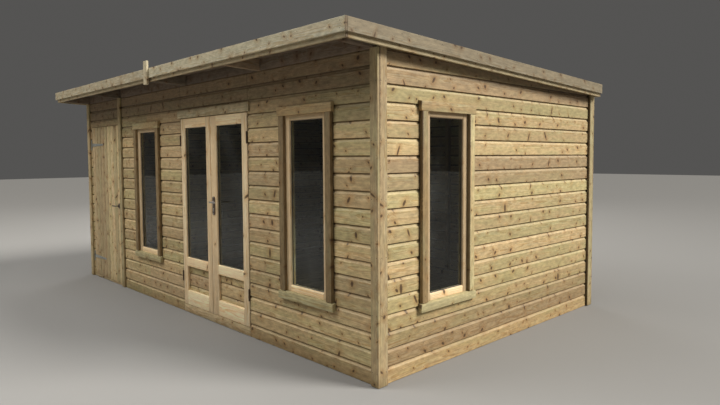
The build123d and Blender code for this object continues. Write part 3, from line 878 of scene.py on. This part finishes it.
under_rafters = (Vector((0, 0, roof_height(0, rafter_top_drop))), roof_normal)
left_window, right_window, side_window = map(opening_inside, surrounds, (0, 0, 1))
print("roof falls", round(roof_slope, 4), "left window", rounded(left_window))

# %% Board a wall
cover = 0.120                # visible height of a board
first_joint = 0.1224         # height of the lowest joint
behind_slab_face = 0.0004
wall_thickness = 0.020
wall_outline = hollow_board(wall_thickness - 0.0016, cover)
wall_boards = {}


# Each wall gets painted shade 0.12 m below the roof's edge unless told otherwise.
def board_wall(node, along, inward, seed, shelter=0.12, **more):
    low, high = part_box(node)
    ways = (Vector(along), Vector(inward))
    ends = sorted((low.dot(ways[0]), high.dot(ways[0])))
    face = min(low.dot(ways[1]), high.dot(ways[1])) + behind_slab_face
    matrix = facing(along, inward, ways[1] * face)
    wall_boards[node] = board_node(node, matrix, wall_outline, cover, *ends, low.z, high.z, first_joint,
                                   seed, jamb=jamb_board, shelter=shelter, **more)


print("wall boards cover", cover, "m each")

# %% Board the walls
corner_board = 0.072
wall_low, wall_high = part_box("front_corner_boards")
side_low, side_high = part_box("side_corner_boards")
strip_low, strip_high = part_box("divider_strip")
door_gap = 0.006
doorway = (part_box("left_door_leaf")[0].x - door_gap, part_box("right_door_leaf")[1].x + door_gap)
door_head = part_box("left_door_leaf")[1].z + door_gap
front_seed = 21
front_shelter = 0.62         # how far down the painted shade under the deep front eaves reaches
front_edges = (wall_low.x + corner_board, wall_high.x - corner_board)
side_edges = (side_low.y + corner_board, side_high.y - corner_board)
mirrored_side_edges = (-side_edges[1], -side_edges[0])
shade_of_front = {"shelter": front_shelter}


def front_butts(row):
    """Where the boards of the front wall meet end to end, or change at the windows and the doors."""
    luck = random.Random(row + 300)
    places = []
    if first_joint + row * cover < door_head:
        places += [sum(doorway) / 2]
        if luck.random() < 0.7:
            places += [sum(left_window[:2]) / 2]
        if luck.random() < 0.7:
            places += [sum(right_window[:2]) / 2]
    if row == 4:
        places += [1.375]
    return sorted(places)


def back_butts(row):
    return [0.02 + 0.59 * ((row * 7) % 3 - 1)]


board_wall("front_cladding_left", east, north, front_seed, openings=[left_window],
           butts=front_butts, trims=(strip_high.x, doorway[0]), **shade_of_front)
board_wall("front_cladding_right", east, north, front_seed, openings=[right_window],
           butts=front_butts, trims=(doorway[1], front_edges[1]), **shade_of_front)
board_wall("front_cladding_shed_edge", east, north, 23, **shade_of_front)
board_wall("right_cladding", north, west, 24, openings=[side_window], planes=[under_rafters],
           trims=side_edges, red=(11, 16), damp_height=0.9)
board_wall("left_cladding", south, east, 25, planes=[under_rafters], trims=mirrored_side_edges)
board_wall("back_cladding", west, south, 26, butts=back_butts, trims=front_edges)

# %% Board over the doorways
low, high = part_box("cladding_over_doors")
shed_low, shed_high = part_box("shed_door_boards")
over_doors = new_boarding()
matrix = facing(east, north, (0, low.y + behind_slab_face, 0))
over_laid = board_up(over_doors, matrix, wall_outline, cover, shed_low.x - door_gap, shed_high.x + door_gap,
                     shed_high.z + door_gap, high.z, first_joint, 27, **shade_of_front)
over_laid += board_up(over_doors, matrix, wall_outline, cover, *doorway, door_head, high.z, first_joint,
                      front_seed, butts=front_butts, **shade_of_front)
wall_boards["cladding_over_doors"] = (matrix, over_laid)
stand_in(over_doors, "cladding_over_doors", "cladding_over_doors_boards")

# %% [markdown]
# ## Floors, roof and partition
# These are tongued and grooved boards with a small bevel along each joint. Floor boards cross the
# bearers, roof boards cross the rafters, and the partition is boarded level.

# %% Lay the floors
floor_cover = 0.119
floor_bevel = 0.0012
for node, seed in (("shed_floor", 31), ("summer_house_floor", 32)):
    low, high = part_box(node)
    matrix = facing(north, downwards, (0, 0, high.z))
    outline = matched_board(high.z - low.z - 0.001, floor_cover, floor_bevel)
    board_node(node, matrix, outline, floor_cover, low.y, high.y, -high.x, -low.x, -high.x, seed,
               settle=0.0006)

# %% Lay the roof boards
lining_cover = 0.095
lining_bevel = 0.003
roof_board = 0.018
down_slope = Vector((0, 1, -roof_slope)).normalized()
for node, seed in (("roof_boards_left", 33), ("roof_boards_right", 34)):
    low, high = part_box(node)
    matrix = facing(west, roof_normal, (0, low.y, roof_height(low.y, rafter_top_drop)))
    outline = matched_board(roof_board * roof_normal.z - 0.0005, lining_cover, lining_bevel)
    board_node(node, matrix, outline, lining_cover, -high.x, -low.x, 0, (high.y - low.y) / down_slope.y,
               0, seed, settle=0.0004)

# %% Board the partition
rafter_bottom_drop = 0.116
low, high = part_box("partition_boards")
matrix = facing(north, west, (high.x, 0, 0))
under_rafters_inside = (Vector((0, 0, roof_height(0, rafter_bottom_drop))), roof_normal)
outline = matched_board(high.x - low.x - 0.0012, lining_cover, lining_bevel)
board_node("partition_boards", matrix, outline, lining_cover, low.y, high.y, low.z, high.z, low.z, 35,
           planes=[under_rafters_inside], name="partition_boarding")

# %% [markdown]
# ## Boarded doors
# The shed door is upright boards with a wide bevel at each joint. The lower panels of the double doors
# are short lengths of wall board, set back behind the rails.

# %% Board the shed door
shed_boards = 9
shed_cover = (shed_high.x - shed_low.x) / shed_boards
shed_bevel = 0.0085
matrix = facing(upwards, north, (0, shed_low.y, 0))
outline = matched_board(shed_high.y - shed_low.y - 0.0008, shed_cover, shed_bevel)
board_node("shed_door_boards", matrix, outline, shed_cover, shed_low.z, shed_high.z, -shed_high.x,
           -shed_low.x, -shed_high.x, 41, settle=0.0006, contrast=2.2, lighter=0.25,
           name="shed_door_boarding")

# %% Board the panels of the double doors
groove_depth = 0.008
top_board = 0.068            # height that shows of a panel's highest board
for node, seed in (("left_door_panel", 42), ("right_door_panel", 43)):
    low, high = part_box(node)
    matrix = facing(east, north, (0, low.y, 0))
    board_node(node, matrix, hollow_board(high.y - low.y - 0.001, cover), cover, low.x, high.x, low.z,
               high.z, high.z - groove_depth - top_board, seed, settle=0.0006)

# %% [markdown]
# ## Glass
# A window pane is thin and flat, so it needs no bending of light: what shows is the room behind it
# and a mirror image that grows towards the edge of sight. The share that is mirrored is worked out
# from the angle, alike on both faces, and mixes a clear shader with a gloss shader. That also lets
# daylight into the rooms without noise.

# %% Glaze the openings
def object_place(m):
    return add(m, "TexCoord").outputs["Object"]


def mix_shader(m, share, first, second):
    return add(m, "MixShader", {0: share, 1: first.outputs[0], 2: second.outputs[0]})


def pane_glass():
    m = new_material("window_pane")
    place = object_place(m)
    dust = ramp(m, noise(m, place, (3, 3, 2), 4.0), 0.45, 0.85, 0.0, 0.035)
    clear = add(m, "BsdfTransparent", {"Color": (0.80, 0.84, 0.82, 1)})
    film = add(m, "BsdfDiffuse", {"Color": (0.6, 0.6, 0.57, 1)})
    wave = bump(m, 0.12, 0.004, noise(m, place, (2.5, 2.5, 2.5), 1.0))
    gloss = add(m, "BsdfGlossy", {"Color": (0.78, 0.78, 0.78, 1), "Roughness": 0.02, "Normal": wave})
    aslant = add(m, "LayerWeight", {"Blend": 0.5}).outputs["Facing"]
    mirrored = scaled(m, calc(m, "POWER", aslant, 5.0), 0.96, 0.04)
    return surface(m, mix_shader(m, dust, mix_shader(m, mirrored, clear, gloss), film))


def finish_node(node, material):
    """Give a solid that keeps its own shape its material."""
    nodes[node].data.materials.clear()
    nodes[node].data.materials.append(material)


glass = pane_glass()
glazed = ("window_glass", "left_door_glass", "right_door_glass")
for node in glazed:
    finish_node(node, glass)
print("glazed nodes:", len(glazed))

# %% [markdown]
# ## Metal
# Hinges and handles keep their own shapes. The straps are dipped in zinc, which dries into dull
# flakes, so cells of a Voronoi pattern change their shine a little. The handles are plated and brushed.

# %% Finish the metal
def metal(name, colour, rough, flakes, brushed, metallic=1.0):
    m = new_material(name)
    place = object_place(m)
    cells = add(m, "TexVoronoi", {"Vector": place, "Scale": 130.0})
    patch = add(m, "SeparateColor", {0: cells.outputs["Color"]}).outputs[0]
    flake = calc(m, "SUBTRACT", patch, 0.5)
    lines = noise(m, place, (20, 900, 900), 2.0)
    stain = noise(m, place, (14, 14, 14), 4.0)
    light = times(m, scaled(m, flake, flakes, 1.0), scaled(m, stain, 0.4, 0.8))
    shine = scaled(m, calc(m, "SUBTRACT", lines, 0.5), brushed, rough)
    height = scaled(m, patch, flakes, times(m, lines, brushed))
    return principled(m, {
        "Base Color": brighten(m, colour, light), "Metallic": metallic,
        "Roughness": scaled(m, flake, flakes * 0.5, shine), "Normal": bump(m, 0.3, 0.0002, height)})


zinc = metal("dipped_zinc", (0.50, 0.51, 0.47), 0.52, 0.30, 0.05)
nickel = metal("brushed_nickel", (0.58, 0.55, 0.53), 0.34, 0.04, 0.25)
dark_steel = metal("dark_plated_steel", (0.13, 0.095, 0.07), 0.42, 0.10, 0.10, metallic=0.6)
dark_nickel = metal("dark_nickel", (0.20, 0.19, 0.18), 0.26, 0.04, 0.15)
nail_steel = metal("weathered_nails", (0.11, 0.095, 0.08), 0.60, 0.20, 0.05)
metals = {"shed_door_straps": zinc, "shed_hinge_plates": zinc, "left_door_hinges": dark_steel,
          "right_door_hinges": dark_steel, "door_frame_hinges": dark_steel, "door_handle_plate": dark_steel,
          "door_lever": nickel, "shed_handle_plate": dark_steel, "shed_lever": dark_nickel}
for node, finish in metals.items():
    finish_node(node, finish)
print("metal parts:", len(metals))

# %% [markdown]
# ## Roofing felt
# Felt comes in rolls a metre wide and is laid from the low edge up, each length lapping the one
# below. Grains of crushed slate are rolled into its top.

# %% Lay the felt
def felt_material():
    m = new_material("slate_felt")
    place = object_place(m)
    grit = noise(m, place, (900, 900, 900), 1.0)
    cloud = noise(m, place, (1.2, 1.2, 1.2), 4.0)
    light = scaled(m, ramp(m, grit, 0.45, 0.75), 0.05, 0.022)
    light = times(m, light, scaled(m, cloud, 0.9, 0.55))
    colour = add(m, "CombineColor", {0: light, 1: light, 2: times(m, light, 1.04)}).outputs[0]
    return principled(m, {"Base Color": colour, "Roughness": 0.92, "Specular IOR Level": 0.25,
                          "Normal": bump(m, 0.6, 0.0008, grit)})


felt = felt_material()
lap = 0.080
lap_ramp = 0.02              # length over which a strip climbs onto the next
ply = 0.0019
strips = 4
strip_step = (felt_high.y - felt_low.y - lap) / strips
felt_bottom = felt_below_fascia + felt_thickness
felt_roof = bmesh.new()
for strip in range(strips):
    near = felt_low.y + strip * strip_step
    far = near + strip_step + lap
    under = [(near, 0), (far - lap - lap_ramp, 0), (far - lap, ply), (far, ply)]
    if strip == strips - 1:
        under = [(near, 0), (far, 0)]
    outline = under + [(y, rise + ply) for y, rise in reversed(under)]
    points = [(felt_low.x, y, roof_height(y, felt_bottom) + rise) for y, rise in outline]
    pull_out(felt_roof, points, felt_high.x - felt_low.x)
finish_piece(felt_roof, "felt_strips", felt, "house", ["roof_felt"])

# %% [markdown]
# ## Nails, screws and beads
# Heads of nails and screws are small, but without them a wall looks moulded. Each is a low cone with a
# flat top. Two go through each board over every stud, others stand in rows up the trims, and one at
# each hand's breadth along the edges and laps of the felt. Screws also have a socket. A bead of
# sealant closes the corner between each pane and its frame.

# %% Make a head
nail_radius = 0.0034
nail_height = 0.0011
head_sides = 10


def head(bm, place, out, radius=nail_radius, height=nail_height, sides=head_sides):
    """A nail's head that stands on a surface and goes a hair's breadth into it."""
    out = Vector(out).normalized()
    turn = out.to_track_quat("Z", "Y").to_matrix().to_4x4()
    centre = Vector(place) + out * (height / 2 - 0.0003)
    return bmesh.ops.create_cone(bm, cap_ends=True, segments=sides, radius1=radius, radius2=radius * 0.72,
                                 depth=height, matrix=Matrix.Translation(centre) @ turn)["verts"]


def screw(bm, place, out, radius, height, sides=12):
    """A head with a round socket sunk in its top."""
    out = Vector(out).normalized()
    faces = {face for vert in head(bm, place, out, radius, height, sides) for face in vert.link_faces}
    top = max(faces, key=lambda face: face.calc_center_median().dot(out))
    bmesh.ops.inset_region(bm, faces=[top], thickness=radius * 0.3)
    bmesh.ops.translate(bm, verts=top.verts, vec=-out * height * 0.5)


print("heads of", head_sides, "sides")

# %% Find where heads go
def boxes_of(node):
    """The corners of each separate solid in a node, with its vertices."""
    bm = merged_copy(node)
    groups = [[vert.co.copy() for vert in group] for group in islands(bm)]
    bm.free()
    return [(*corners(points), points) for points in groups]


def rows_of(start, end, step):
    """Even steps from start to end, no longer than the step."""
    count = max(1, math.ceil((end - start) / step))
    return [start + (end - start) * i / count for i in range(count + 1)]


def studs(node, along, across, side, sign=1):
    """Middles of the studs on one side of the building, along their wall."""
    boxes = [(low, high) for low, high, _ in boxes_of(node) if side * low[across] > 0]
    return [sign * (low[along] + high[along]) / 2 for low, high in boxes]


stud_places = {"front": studs("long_wall_studs", 0, 1, -1), "back": studs("long_wall_studs", 0, 1, 1, -1),
               "right": studs("side_wall_studs", 1, 0, 1), "left": studs("side_wall_studs", 1, 0, -1, -1)}
print("studs:", {side: len(places) for side, places in stud_places.items()})

# %% Nail the walls
nails = bmesh.new()
wall_nail_sides = 8
nail_rises = (0.024, 0.080)  # above a board's lip
side_clear, edge_clear = 0.010, 0.006
wall_side = {"front_cladding_left": "front", "front_cladding_right": "front",
             "cladding_over_doors": "front", "right_cladding": "right", "left_cladding": "left",
             "back_cladding": "back"}
count = 0
for node, side in wall_side.items():
    matrix, laid = wall_boards[node]
    out = matrix.to_3x3() @ Vector(south)
    for x1, x2, z1, z2, height, depth in laid:
        for x in stud_places[side]:
            for z in (height + rise for rise in nail_rises):
                if x1 + side_clear < x < x2 - side_clear and z1 + edge_clear < z < z2 - edge_clear:
                    head(nails, matrix @ Vector((x, depth, z)), out, sides=wall_nail_sides)
                    count += 1
print("nails in the walls:", count)

# %% Nail the trims
trim_nails = bmesh.new()
back_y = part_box("back_corner_boards")[1].y
trim_nail_heights = rows_of(0.10, 2.05, 0.39)
inset = 0.014
fascia_inset = 0.022
fascia_step = 0.45


def columns(start, end):
    """Two rows of nails in each of the two corner boards of a wall."""
    return [start + inset, start + corner_board - inset, end - corner_board + inset, end - inset]


def nail_sides(y, z, low_x, high_x):
    head(trim_nails, (high_x, y, z), east)
    head(trim_nails, (low_x, y, z), west)


for z in trim_nail_heights:
    for x in [*columns(wall_low.x, wall_high.x), strip_low.x + inset, strip_high.x - inset]:
        head(trim_nails, (x, wall_low.y, z), south)
    for y in columns(side_low.y, side_high.y):
        nail_sides(y, z, wall_low.x, wall_high.x)
    for x in columns(wall_low.x, wall_high.x):
        head(trim_nails, (x, back_y, z), north)
fascia_low, fascia_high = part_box("front_fascia_left")
side_fascia_low, side_fascia_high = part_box("side_fascias")
for x in rows_of(fascia_low.x + 0.05, -fascia_low.x - 0.05, fascia_step):
    for z in (fascia_low.z + fascia_inset, fascia_high.z - fascia_inset):
        head(trim_nails, (x, fascia_low.y, z), south)
for y in rows_of(side_fascia_low.y + 0.06, side_fascia_high.y - 0.06, fascia_step):
    for drop in (fascia_inset, 0.068):
        nail_sides(y, roof_height(y, drop), side_fascia_low.x, side_fascia_high.x)
print("faces on trim nails:", len(trim_nails.faces))

# %% Nail the jambs of the windows
for node in surrounds:
    for low, high, _ in boxes_of(node):
        centre = (low + high) / 2
        is_jamb = high.z - low.z > 1
        for z in rows_of(low.z + 0.05, high.z - 0.05, 0.33) if is_jamb else ():
            if node.startswith("side"):
                head(trim_nails, (high.x, centre.y, z), east)
            else:
                head(trim_nails, (centre.x, low.y, z), south)
finish_piece(nails, "wall_nails", nail_steel, "house")
finish_piece(trim_nails, "trim_nails", nail_steel, "house")

# %% Screw on the shed door's hinges
strap_screw = (0.0048, 0.0022)    # radius and height
plate_screw = (0.0040, 0.0020)
strap_screws_at = (0.020, 0.095, 0.170, 0.245, 0.320)    # from a strap's right end
flat_reach = 0.15                 # a strap is flat this far from its right end
beyond_knuckle = 0.045            # a plate's flat wings start this far from its middle
plate_screws_at = ((-0.052, 0.010), (-0.040, 0.022), (0.040, 0.022), (0.052, 0.010))    # up and along


def foremost(points):
    return min(point.y for point in points)


straps = bmesh.new()
for low, high, points in boxes_of("shed_door_straps"):
    face_y = foremost([p for p in points if p.x > high.x - flat_reach])
    for back in strap_screws_at:
        screw(straps, (high.x - back, face_y, (low.z + high.z) / 2), south, *strap_screw)
finish_piece(straps, "shed_door_straps_screws", zinc, "shed_leaf")

plates = bmesh.new()
for low, high, points in boxes_of("shed_hinge_plates"):
    z = (low.z + high.z) / 2
    wings = [p for p in points if abs(p.z - z) > beyond_knuckle]
    start = min(p.x for p in wings)
    for up, along in plate_screws_at:
        screw(plates, (start + along, foremost(wings), z + up), south, *plate_screw)
finish_piece(plates, "shed_hinge_plates_screws", zinc, "house")

# %% Screw on the handles and fit the lock
def screw_plate(node, name, rise, radius, height):
    """A screw above and one below the middle of a handle's plate."""
    low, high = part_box(node)
    screws = bmesh.new()
    for up in (-rise, rise):
        place = ((low.x + high.x) / 2, low.y, (low.z + high.z) / 2 + up)
        screw(screws, place, south, radius, height)
    finish_piece(screws, name, nickel, body_of[node])


screw_plate("door_handle_plate", "door_plate_screws", 0.074, 0.0038, 0.0016)
plate_low, plate_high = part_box("door_handle_plate")
plate_x, plate_z = (plate_low.x + plate_high.x) / 2, (plate_low.z + plate_high.z) / 2
lock_barrel = (0.0088, 0.0026, 20)    # radius, height and sides
lock = bmesh.new()
screw(lock, (plate_x, plate_low.y, plate_z - 0.030), south, *lock_barrel)
slot_place = Matrix.Translation((plate_x, plate_low.y - 0.0008, plate_z - 0.045))
slot_size = Matrix.Diagonal((0.0092, 0.0022, 0.0170, 1))
slot_bar = bmesh.ops.create_cube(lock, size=1, matrix=slot_place @ slot_size)
edges = list({edge for vert in slot_bar["verts"] for edge in vert.link_edges})
bmesh.ops.bevel(lock, geom=edges, offset=0.0008, affect="EDGES", segments=2, profile=0.5, material=-1)
finish_piece(lock, "door_lock", nickel, body_of["door_handle_plate"])
screw_plate("shed_handle_plate", "shed_plate_screws", 0.021, 0.0034, 0.0015)

# %% Cap the pins of the double doors' hinges
pins = bmesh.new()
barrel_radius = 0.006
pin_cap = (0.0054, 0.0032, 12)    # radius, height and sides
for low, high, points in boxes_of("door_frame_hinges"):
    crest = [p.x for p in points if p.y < low.y + 0.0004]
    x = (min(crest) + max(crest)) / 2
    head(pins, (x, low.y + barrel_radius, high.z), upwards, *pin_cap)
    head(pins, (x, low.y + barrel_radius, low.z), downwards, *pin_cap)
finish_piece(pins, "hinge_pins", dark_steel, "house")

# %% Seal the panes
sealant = principled(new_material("dark_sealant"), {
    "Base Color": (0.035, 0.027, 0.020, 1), "Roughness": 0.55})
bead_size = 0.005
in_groove = 0.008            # how far a pane's edge goes into its frame


def bead_round(bm, matrix, width, height, size=bead_size):
    """A ring of sealant in the corner between a pane and its frame, three-sided in section."""
    rings = []
    for inwards, out in ((0.0001, 0), (size, 0), (0.0001, size)):
        x, z = width / 2 - inwards, height / 2 - inwards
        square = [(-x, -out, -z), (x, -out, -z), (x, -out, z), (-x, -out, z)]
        rings.append([bm.verts.new(matrix @ Vector(corner)) for corner in square])
    for ring, following in zip(rings, rings[1:] + rings[:1]):
        for k in range(4):
            bm.faces.new([ring[k], ring[(k + 1) % 4], following[(k + 1) % 4], following[k]])
    bmesh.ops.recalc_face_normals(bm, faces=bm.faces)


for node in glazed:
    beads = bmesh.new()
    for low, high, _ in boxes_of(node):
        centre = (low + high) / 2
        size = high - low
        faces_front = size.x > size.y
        if faces_front:
            matrix = facing(east, north, (centre.x, low.y, centre.z))
        else:
            matrix = facing(north, west, (high.x, centre.y, centre.z))
        width = size.x if faces_front else size.y
        bead_round(beads, matrix, width - 2 * in_groove, size.z - 2 * in_groove)
    finish_piece(beads, f"{node}_sealant", sealant, body_of[node])

# %% Nail the felt
felt_nail = (0.005, 0.0012, 8)    # radius, height and sides
hand = 0.10                       # a hand's breadth
felt_nails = bmesh.new()


def nail_felt(x, y, lift=0.0):
    head(felt_nails, (x, y, roof_height(y, felt_bottom) + ply + lift), roof_normal, *felt_nail)


for strip in range(strips + 1):
    y = min(felt_low.y + strip * strip_step + 0.025, felt_high.y - 0.025)
    for x in rows_of(felt_low.x + 0.03, felt_high.x - 0.03, hand):
        nail_felt(x, y, ply if 0 < strip < strips else 0)
for x in (felt_low.x + 0.015, felt_high.x - 0.015):
    for y in rows_of(felt_low.y + 0.08, felt_high.y - 0.08, hand):
        nail_felt(x, y)
finish_piece(felt_nails, "felt_nails", nail_steel, "house")
